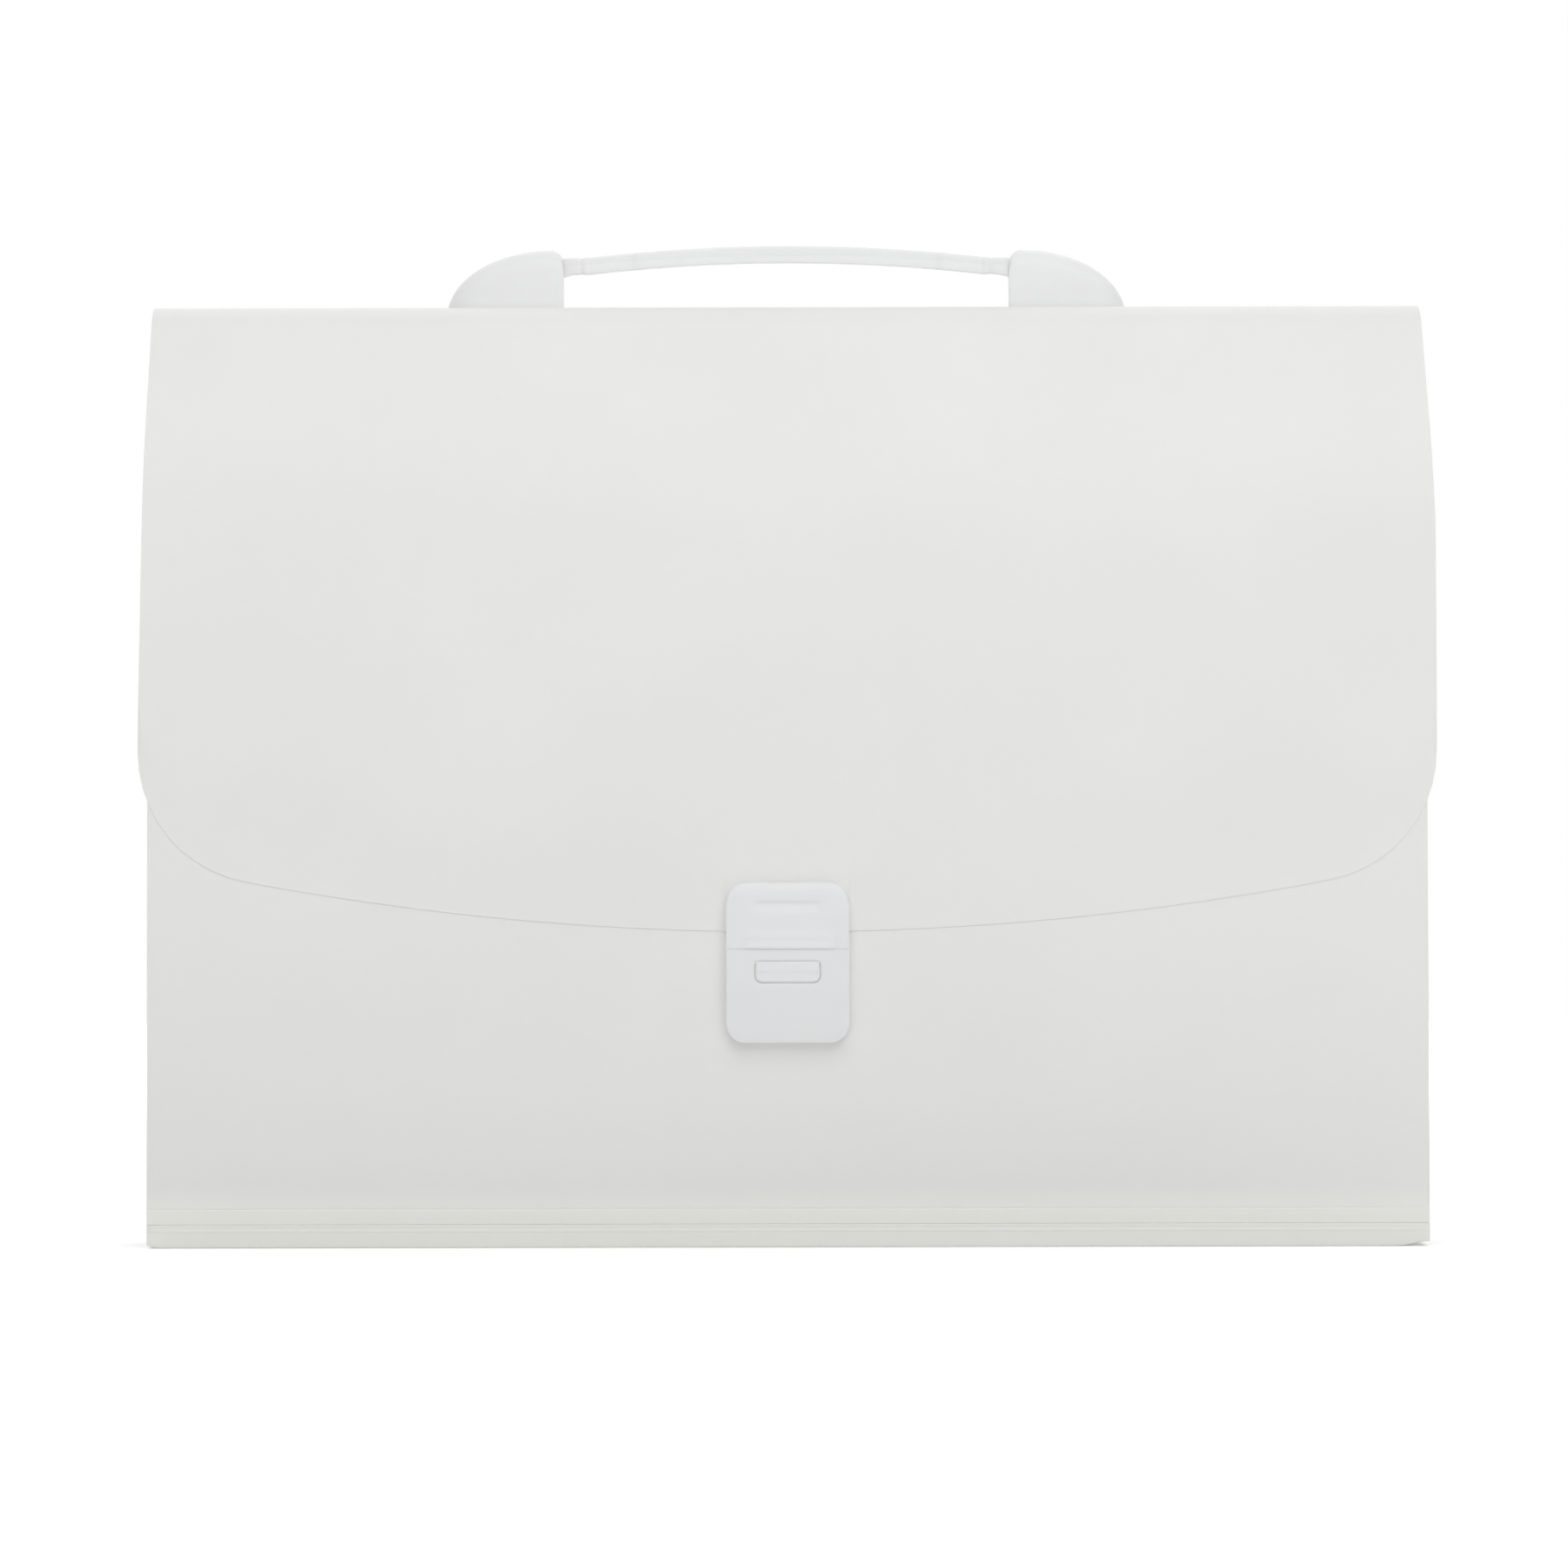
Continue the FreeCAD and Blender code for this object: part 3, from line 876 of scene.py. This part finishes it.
def gusset_path():
    """The right-hand film in plan, from the back wall to the front wall: one pleat to a pocket."""
    low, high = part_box("gusset_right")
    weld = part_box("divider_1")[1].x
    walls = [high.y]
    for number in range(divider_count, 0, -1):
        walls += reversed(divider_faces(number))
    walls.append(low.y)
    path = [Vector((high.x, high.y)), Vector((weld, high.y))]
    for back, front in zip(walls[0::2], walls[1::2]):
        path.append(Vector((low.x, (back + front) / 2)))
        path.append(Vector((weld, front)))
        if front > low.y:
            path.append(Vector((weld, walls[walls.index(front) + 1])))
    return soften(path + [Vector((high.x, low.y))], pleat_fold)


def make_gusset(side, sign):
    """A pleated side film that fans out between the back wall and the front wall."""
    node = "gusset_" + side
    low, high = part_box(node)
    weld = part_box("divider_1")[1].x
    deep = min(abs(low.x), abs(high.x))
    lines = []
    for point in gusset_path():
        line = []
        for z in spread(low.z, high.z, column_step):
            loose = (weld - min(weld, point.x)) / (weld - deep)
            wave = ripple(point.y * film_ripple_stretch, z * sign, film_ripple_pitch)
            line.append((sign * (point.x + film_ripple * loose * wave), point.y, z))
        lines.append(line)
    piece = grid_piece(node + "_film", lines if sign > 0 else lines[::-1])
    thicken(piece, gusset_film, film_edge)
    finish_piece(piece, "gusset", node)
    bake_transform(piece)


# Handle

grip_low, grip_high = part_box("handle_grip")
grip_depth = (grip_high.y - grip_low.y) / 2
mount_low, mount_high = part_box("handle_mount_right")
mouth = mount_low.x


def strap_height(x):
    """Height of the strap's middle line: bowed between its necks and level in the mounts."""
    radius = (strap_reach**2 + strap_bow**2) / (2 * strap_bow)
    reach = min(abs(x), strap_reach)
    return grip_high.z - strap_half - radius + math.sqrt(radius**2 - reach**2)


def strap_face(x, depth, up, low):
    """One face of the strap: a round top corner, a fold that dips to the middle, and a round foot."""
    middle, end = strap_fold
    fold = up - (middle + (end - middle) * min(1, abs(x) / strap_reach)) * (up - low)
    notch = depth - strap_notch
    high, small = strap_foot
    face = []
    for angle in even_rows(math.pi / 2, 0, 5):
        inward, fall = 1 - math.cos(angle), 1 - math.sin(angle)
        face.append((depth - strap_round * inward, up - strap_round * fall))
    face += [(notch, fold + strap_fold_half), (notch, fold - strap_fold_half)]
    return face + [(depth, low + high), (depth - small, low + small), (depth - high, low)]


def ring(x, depth, up, down):
    """Points round the strap at x: a face on each side and an underside that rises to the rear."""
    middle = (grip_low.y + grip_high.y) / 2
    line = strap_height(x)
    fall = strap_slope * depth
    rear = strap_face(x, depth, up, -down)
    under = [(share * depth, -down - fall * (1 - share)) for share in (0.5, 0, -0.5)]
    lower = strap_face(x, depth, up, -down - 2 * fall)
    front = [(-across, upward) for across, upward in reversed(lower)]
    outline = [(0, up)] + rear + under + front
    return [(x, middle + across, line + upward) for across, upward in outline]


def make_grip():
    """The middle of the strap, which the hand lifts."""
    places = spread(-grip_high.x, grip_high.x, grip_step)
    piece = tube("grip_bar", [ring(x, grip_depth, strap_half, strap_lip) for x in places])
    finish_piece(piece, "handle", "handle_grip")
    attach(piece, "grip")


# Strap end beyond its bar, in millimetres: place, half depth, and reach above and below the strap's line
neck_sections = (
    (51.9, 4.97, 1.4, 2.0),
    (52.1, 5.05, 1.44, 2.0),
    (53.5, 5.05, 1.44, 1.9),
    (53.75, 4.8, 1.3, 1.75),
    (54.25, 4.8, 1.3, 1.75),
    (54.5, 4.95, 1.44, 1.9),
    (55.5, 4.85, 1.45, 1.95),
    (56.5, 4.7, 1.46, 2.1),
    (57.5, 4.5, 1.48, 2.35),
    (58.3, 4.2, 1.5, 2.65),
    (58.9, 3.7, 1.5, 2.85),
    (59.6, 3.0, 1.4, 1.9),
)


def make_strap(side, sign):
    """A flexible strap end: the bar, a collar rib, a slit and a neck that swells into the mount."""
    node = "handle_strap_" + side
    low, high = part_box(node)
    end = max(abs(low.x), abs(high.x))
    bar = spread(grip_high.x, strap_bar_end, strap_bar_step)
    sections = [(x, grip_depth, strap_half, strap_lip) for x in bar]
    sections += [tuple(size * mm for size in section) for section in neck_sections]
    sections += [(x, *tail_size) for x in spread(tail_start, end, tail_step)]
    piece = tube(node + "_end", [ring(sign * x, depth, up, down) for x, depth, up, down in sections])
    finish_piece(piece, "handle", node)
    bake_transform(piece)


def mount_height(x):
    """Height of a mount's back at x: a long round slope outside its peak and a short turn inside it."""
    if x < mount_peak:
        turn = math.sqrt(max(0.0, mount_turn**2 - (mount_peak - x) ** 2))
        return mount_rise - mount_sink - mount_turn + turn
    return mount_rise * math.sqrt(1 - ((x - mount_peak) / mount_reach) ** 2) - mount_sink


def mount_ring(x, sign):
    """Points over a mount at x, from the foot of its front over its back to its rear foot."""
    middle = (mount_low.y + mount_high.y) / 2
    inner = mount_edge * max(0.0, 1 - (x - mouth) / mount_edge_reach) ** 2
    tip = max(0.0, (x - mount_peak) / mount_reach)
    half = (mount_half - inner) * (1 - tip**mount_tip_power) ** 0.5
    height = mount_height(x)
    bend = min(half, height)
    outline = [(1, (height - bend) * share) for share in even_rows(0, 1, mount_wall_rows)[:-1]]
    for angle in even_rows(0, math.pi, mount_arch_rows):
        outline.append((math.cos(angle), height - bend + bend * math.sin(angle)))
    outline += [(-1, (height - bend) * share) for share in even_rows(1, 0, mount_wall_rows)[1:]]
    lean = mount_lean * max(0.0, 1 - (x - mouth) / mount_lean_reach)
    points = []
    for across, rise in outline:
        flare = mount_flare * max(0.0, 1 - rise / mount_flare_reach)
        place = sign * (x + lean * (1 - across) / 2)
        points.append((place, middle - across * half - math.copysign(flare, across), top + rise))
    return points


def make_mount(side, sign):
    """A domed mount that stands on the spine and holds the strap's end."""
    inner = [mouth + step * mm for step in mount_mouth_steps]
    turns = even_rows(0, mount_last_turn, mount_rows)
    outer = [mount_peak + mount_reach * math.sin(angle) for angle in turns]
    piece = tube("mount_dome_" + side, [mount_ring(x, sign) for x in inner + outer])
    finish_piece(piece, "handle", "handle_mount_" + side)
    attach(piece, "top")


# Clasp

plate_low, plate_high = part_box("clasp_plate")
case_low, case_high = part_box("clasp_receiver")
button_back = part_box("clasp_button")[1].y
clasp_half = plate_high.x
clasp_face = case_low.y + clasp_sink
case_top = plate_low.z - seam_line
window_top = case_high.z - window_drop
window_foot = window_top - window_height


def box_inset(x, z, half, low, high, corner):
    """How far a point is inside a box with round corners; less than 0 outside it."""
    across = abs(x) - half + corner
    upward = abs(z - (low + high) / 2) - (high - low) / 2 + corner
    outside = math.hypot(max(0.0, across), max(0.0, upward))
    return corner - outside - min(0.0, max(across, upward))


def half_width(rise, half, corner):
    """Half the width of a box at a rise above its round end."""
    if rise >= corner:
        return half
    return half - corner + math.sqrt(max(0.0, corner**2 - (corner - rise) ** 2))


def clasp_skin(x, z):
    """The clasp's plain face, which rolls back round its rim and most along its top."""
    inset = box_inset(x, z, clasp_half, case_low.z, plate_high.z, clasp_corner)
    near = min(1.0, max(0.0, 1 - inset / clasp_rim))
    least, most = rim_drop
    drop = least + (most - least) * smooth(*rim_top, plate_high.z - z)
    return clasp_face + drop * (1 - math.sqrt(1 - near * near))


def sheet_behind(x, z):
    """Face of the sheet behind the clasp: the hanging flap, and the front wall below the flap's edge."""
    rise = z - flap_edge(x)
    hung = flap_low.y + flap_press * smooth(press_reach, 0, rise)
    return front_low.y + (hung - front_low.y) * smooth(-flap_step_reach, 0, rise)


def plate_front(x, z):
    """The plate's face: a finger slot near its top and two stepped ribs above the seam."""
    slot = z - plate_high.z + slot_drop
    dent = slot_depth * smooth(*slot_upper, slot) * smooth(*slot_lower, slot)
    dent *= smooth(slot_reach + end_fade, slot_reach - end_fade, abs(x))
    rise = z - plate_low.z
    upper = rib_height * smooth(*upper_rib, rise) - rib_back * smooth(*upper_rib_back, rise)
    lower = rib_height * smooth(*lower_rib, rise) - rib_back * smooth(*lower_rib_back, rise)
    ribs = (upper + lower) * smooth(rib_reach + end_fade, rib_reach - end_fade, abs(x))
    return clasp_skin(x, z) + dent - ribs


def make_plate():
    """The upper half of the clasp, which stands on the flap."""
    high = plate_high.z
    rows = spread(plate_low.z, high - plate_top_clear, clasp_step)
    turns = even_rows(plate_corner_start, math.pi / 2, plate_corner_rows)
    rows += [high - clasp_corner * (1 - math.sin(angle)) for angle in turns]
    rows.sort()
    lines = []
    for share in even_rows(-1, 1, plate_columns):
        across = [share * half_width(high - z, clasp_half, clasp_corner) for z in rows]
        lines.append([(x, plate_front(x, z), z) for x, z in zip(across, rows)])
    piece = moulding("plate_shell", lines, lambda x, z: sheet_behind(x, z) + plate_sink)
    finish_piece(piece, "clasp", "clasp_plate")
    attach(piece, "flap")


def sides_of(half, low, high, corner):
    """Points round a box with two round lower corners: down its left side, along its foot and back."""
    turns = even_rows(0, math.pi / 2, case_corner_rows)[1:]
    inner, bend = half - corner, low + corner
    points = [(-half, z) for z in even_rows(high, bend, case_side_rows)]
    points += [(-inner - corner * math.cos(a), bend - corner * math.sin(a)) for a in turns]
    points += [(x, low) for x in even_rows(-inner, inner, case_foot_columns)[1:]]
    points += [(inner + corner * math.sin(a), bend - corner * math.cos(a)) for a in turns]
    points += [(half, z) for z in even_rows(bend, high, case_side_rows)[1:]]
    return points + [(x, high) for x in even_rows(half, -half, case_top_columns)[1:-1]]


def window_lip(off, z):
    """How far a face rolls back at a distance from the window's line, less along its top."""
    shown = 1 - lip_top_loss * smooth(window_top - mm, window_top, z)
    return lip_depth * max(0.0, 1 - off / lip_reach) ** 2 * shown


def case_front(x, z):
    """The receiver's face: a dip under the seam, a rolled window edge and two faint thumb lines."""
    dip = case_dip * smooth(window_top, case_top, z) * smooth(*case_dip_side, abs(x))
    off = -box_inset(x, z, window_half, window_foot, window_top, window_corner)
    drop = window_foot - z
    thumb = hump(*thumb_upper, drop) + thumb_lower_share * hump(*thumb_lower, drop)
    thumb *= thumb_depth * smooth(*thumb_side, abs(x))
    return clasp_skin(x, z) + dip + window_lip(max(0.0, off), z) + thumb


def make_case():
    """The lower half of the clasp: a hollow shell with a window, on the front wall."""
    outer = sides_of(clasp_half, case_low.z, case_top, clasp_corner)
    inner = sides_of(window_half, window_foot, window_top, window_corner)
    shares = [1 - (1 - share) ** case_row_bias for share in even_rows(0, 1, case_face_rows)]
    lines = []
    for (x0, z0), (x1, z1) in zip(outer, inner):
        places = [(x0 + (x1 - x0) * share, z0 + (z1 - z0) * share) for share in shares]
        face = [(x, case_front(x, z), z) for x, z in places]
        wall = [(x0, y, z0) for y in even_rows(front_low.y, face[0][1], case_wall_rows)[:-1]]
        lines.append(wall + face)
    piece = grid_piece("case_shell", lines, closed=True)
    thicken(piece, clasp_wall, case_edge)
    for vertex in piece.data.vertices:
        vertex.co.y = min(vertex.co.y, front_low.y)
    finish_piece(piece, "clasp", "clasp_receiver")
    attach(piece, "front")


def button_box():
    """Half width, foot and top of the button, which fills the window but for a fine line."""
    return window_half - window_line, window_foot + window_line, window_top - window_line


def button_front(x, z):
    """The button's face: two stepped ridges inside a rolled edge."""
    half, low, high = button_box()
    off = box_inset(x, z, half, low, high + window_corner, window_corner)
    off = min(off, high - z)
    rise = z - (window_foot + window_top) / 2
    upper = smooth(*upper_ridge_top, rise) * smooth(*upper_ridge_foot, rise)
    lower = smooth(*lower_ridge, rise)
    ridges = button_ridge * (upper + lower_ridge_share * lower)
    return clasp_face + window_lip(max(0.0, off), z) - ridges


def make_button():
    """The ridged catch, which shows in the window."""
    half, low, high = button_box()
    rows = spread(low, high, button_step)
    lines = []
    for share in even_rows(-1, 1, button_columns):
        across = [share * half_width(z - low, half, window_corner) for z in rows]
        lines.append([(x, button_front(x, z), z) for x, z in zip(across, rows)])
    piece = moulding("button_catch", lines, lambda x, z: button_back)
    finish_piece(piece, "clasp", "clasp_button")
    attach(piece, "button")


def make_tongue():
    """The spring tongue, which bends back with the button."""
    low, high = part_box("clasp_tongue")
    lines = []
    for x in spread(low.x, high.x, tongue_step):
        inside = min(tongue_corner, max(0.0, abs(x) - (high.x - tongue_corner)))
        foot = low.z + tongue_corner - math.sqrt(tongue_corner**2 - inside**2)
        lines.append([(x, low.y, z) for z in even_rows(foot, high.z, tongue_rows)])
    piece = grid_piece("tongue_spring", lines)
    thicken(piece, high.y - low.y, edge_round)
    finish_piece(piece, "clasp", "clasp_tongue")
    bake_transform(piece)


def finish_fixings():
    """The rivets and backing plates keep their own solids and take the finish of fixings."""
    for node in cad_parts.values():
        if not node.hide_render:
            node.data.materials.clear()
            node.data.materials.append(materials["fixing"])


# Stage


def add_camera():
    """A long lens in front of the part, a little below its middle and tipped up."""
    data = bpy.data.cameras.new("camera")
    data.sensor_width = sensor_width
    data.lens = sensor_width * focal_pixels / image_side
    camera = bpy.data.objects.new("camera", data)
    bpy.context.scene.collection.objects.link(camera)
    turn = Matrix.Rotation(math.pi / 2 + camera_pitch, 4, "X") @ Matrix.Rotation(camera_roll, 4, "Z")
    camera.matrix_world = Matrix.Translation(camera_place) @ turn
    bpy.context.scene.camera = camera


def add_softbox(name, place, target, size, energy):
    data = bpy.data.lights.new(name, "AREA")
    data.shape = "RECTANGLE"
    data.size, data.size_y = size
    data.energy = energy
    lamp = bpy.data.objects.new(name, data)
    bpy.context.scene.collection.objects.link(lamp)
    lamp.location = place
    lamp.rotation_euler = (Vector(target) - Vector(place)).to_track_quat("-Z", "Y").to_euler()
    lamp.visible_camera = False


def seen_directly(nodes, links):
    """1 for camera, mirror and glass rays, 0 for the rays that carry light."""
    path = nodes.new("ShaderNodeLightPath")
    result = path.outputs["Is Camera Ray"]
    for kind in ("Is Glossy Ray", "Is Transmission Ray"):
        larger = nodes.new("ShaderNodeMath")
        larger.operation = "MAXIMUM"
        links.new(result, larger.inputs[0])
        links.new(path.outputs[kind], larger.inputs[1])
        result = larger.outputs[0]
    return result


def add_sky():
    """Tent light: strong from above, weak from the camera's side, and white where it is seen."""
    world = bpy.data.worlds.new("studio")
    bpy.context.scene.world = world
    world.use_nodes = True
    nodes, links = world.node_tree.nodes, world.node_tree.links
    nodes.clear()
    way = nodes.new("ShaderNodeSeparateXYZ")
    links.new(nodes.new("ShaderNodeTexCoord").outputs["Generated"], way.inputs[0])
    light = nodes.new("ShaderNodeBackground")
    light.inputs["Color"].default_value = (1, 1, 1, 1)
    level = nodes.new("ShaderNodeMix")
    links.new(ranged(nodes, links, way.outputs["Y"], sky_turn, (0.0, 1.0)), level.inputs["Factor"])
    links.new(ranged(nodes, links, way.outputs["Z"], (0.0, 1.0), sky_front), level.inputs["A"])
    links.new(ranged(nodes, links, way.outputs["Z"], (0.0, 1.0), sky_round), level.inputs["B"])
    links.new(level.outputs["Result"], light.inputs["Strength"])
    white = nodes.new("ShaderNodeBackground")
    white.inputs["Color"].default_value = (1, 1, 1, 1)
    mix = nodes.new("ShaderNodeMixShader")
    output = nodes.new("ShaderNodeOutputWorld")
    links.new(seen_directly(nodes, links), mix.inputs[0])
    links.new(light.outputs[0], mix.inputs[1])
    links.new(white.outputs[0], mix.inputs[2])
    links.new(mix.outputs[0], output.inputs[0])


def add_floor():
    """A pale floor that is white where it is lit, also far out, and keeps the part's shadow."""
    mesh = bpy.data.meshes.new("floor")
    corners = [(-floor_side, -floor_side, 0), (floor_side, -floor_side, 0)]
    corners += [(floor_side, floor_side, 0), (-floor_side, floor_side, 0)]
    mesh.from_pydata(corners, [], [(0, 1, 2, 3)])
    floor = bpy.data.objects.new("floor", mesh)
    bpy.context.scene.collection.objects.link(floor)
    material = bpy.data.materials.new("floor")
    material.use_nodes = True
    nodes, links = material.node_tree.nodes, material.node_tree.links
    nodes.clear()
    matt = nodes.new("ShaderNodeBsdfDiffuse")
    matt.inputs["Color"].default_value = (floor_grey, floor_grey, floor_grey, 1)
    lift = nodes.new("ShaderNodeEmission")
    lift.inputs["Color"].default_value = (1, 1, 1, 1)
    away = nodes.new("ShaderNodeVectorMath")
    away.operation = "LENGTH"
    links.new(nodes.new("ShaderNodeTexCoord").outputs["Object"], away.inputs[0])
    level = nodes.new("ShaderNodeMath")
    level.operation = "MULTIPLY"
    links.new(ranged(nodes, links, away.outputs["Value"], floor_lift_reach, floor_lift), level.inputs[0])
    links.new(seen_directly(nodes, links), level.inputs[1])
    links.new(level.outputs[0], lift.inputs["Strength"])
    both = nodes.new("ShaderNodeAddShader")
    output = nodes.new("ShaderNodeOutputMaterial")
    links.new(matt.outputs[0], both.inputs[0])
    links.new(lift.outputs[0], both.inputs[1])
    links.new(both.outputs[0], output.inputs[0])
    mesh.materials.append(material)


make_flap()
make_front()
make_back()
make_floor_sheet()
make_spine()
make_back_crease()
make_flap_crease()
make_front_crease()
for number in range(1, divider_count + 1):
    make_divider(number)
for side, sign in (("left", -1), ("right", 1)):
    make_gusset(side, sign)
    make_strap(side, sign)
    make_mount(side, sign)
make_grip()
make_plate()
make_case()
make_button()
make_tongue()
finish_fixings()

add_camera()
add_sky()
add_softbox("key", key_place, lamp_target, key_size, key_energy)
add_softbox("fill", fill_place, lamp_target, fill_size, fill_energy)
add_floor()
bpy.context.scene.view_settings.view_transform = "Standard"
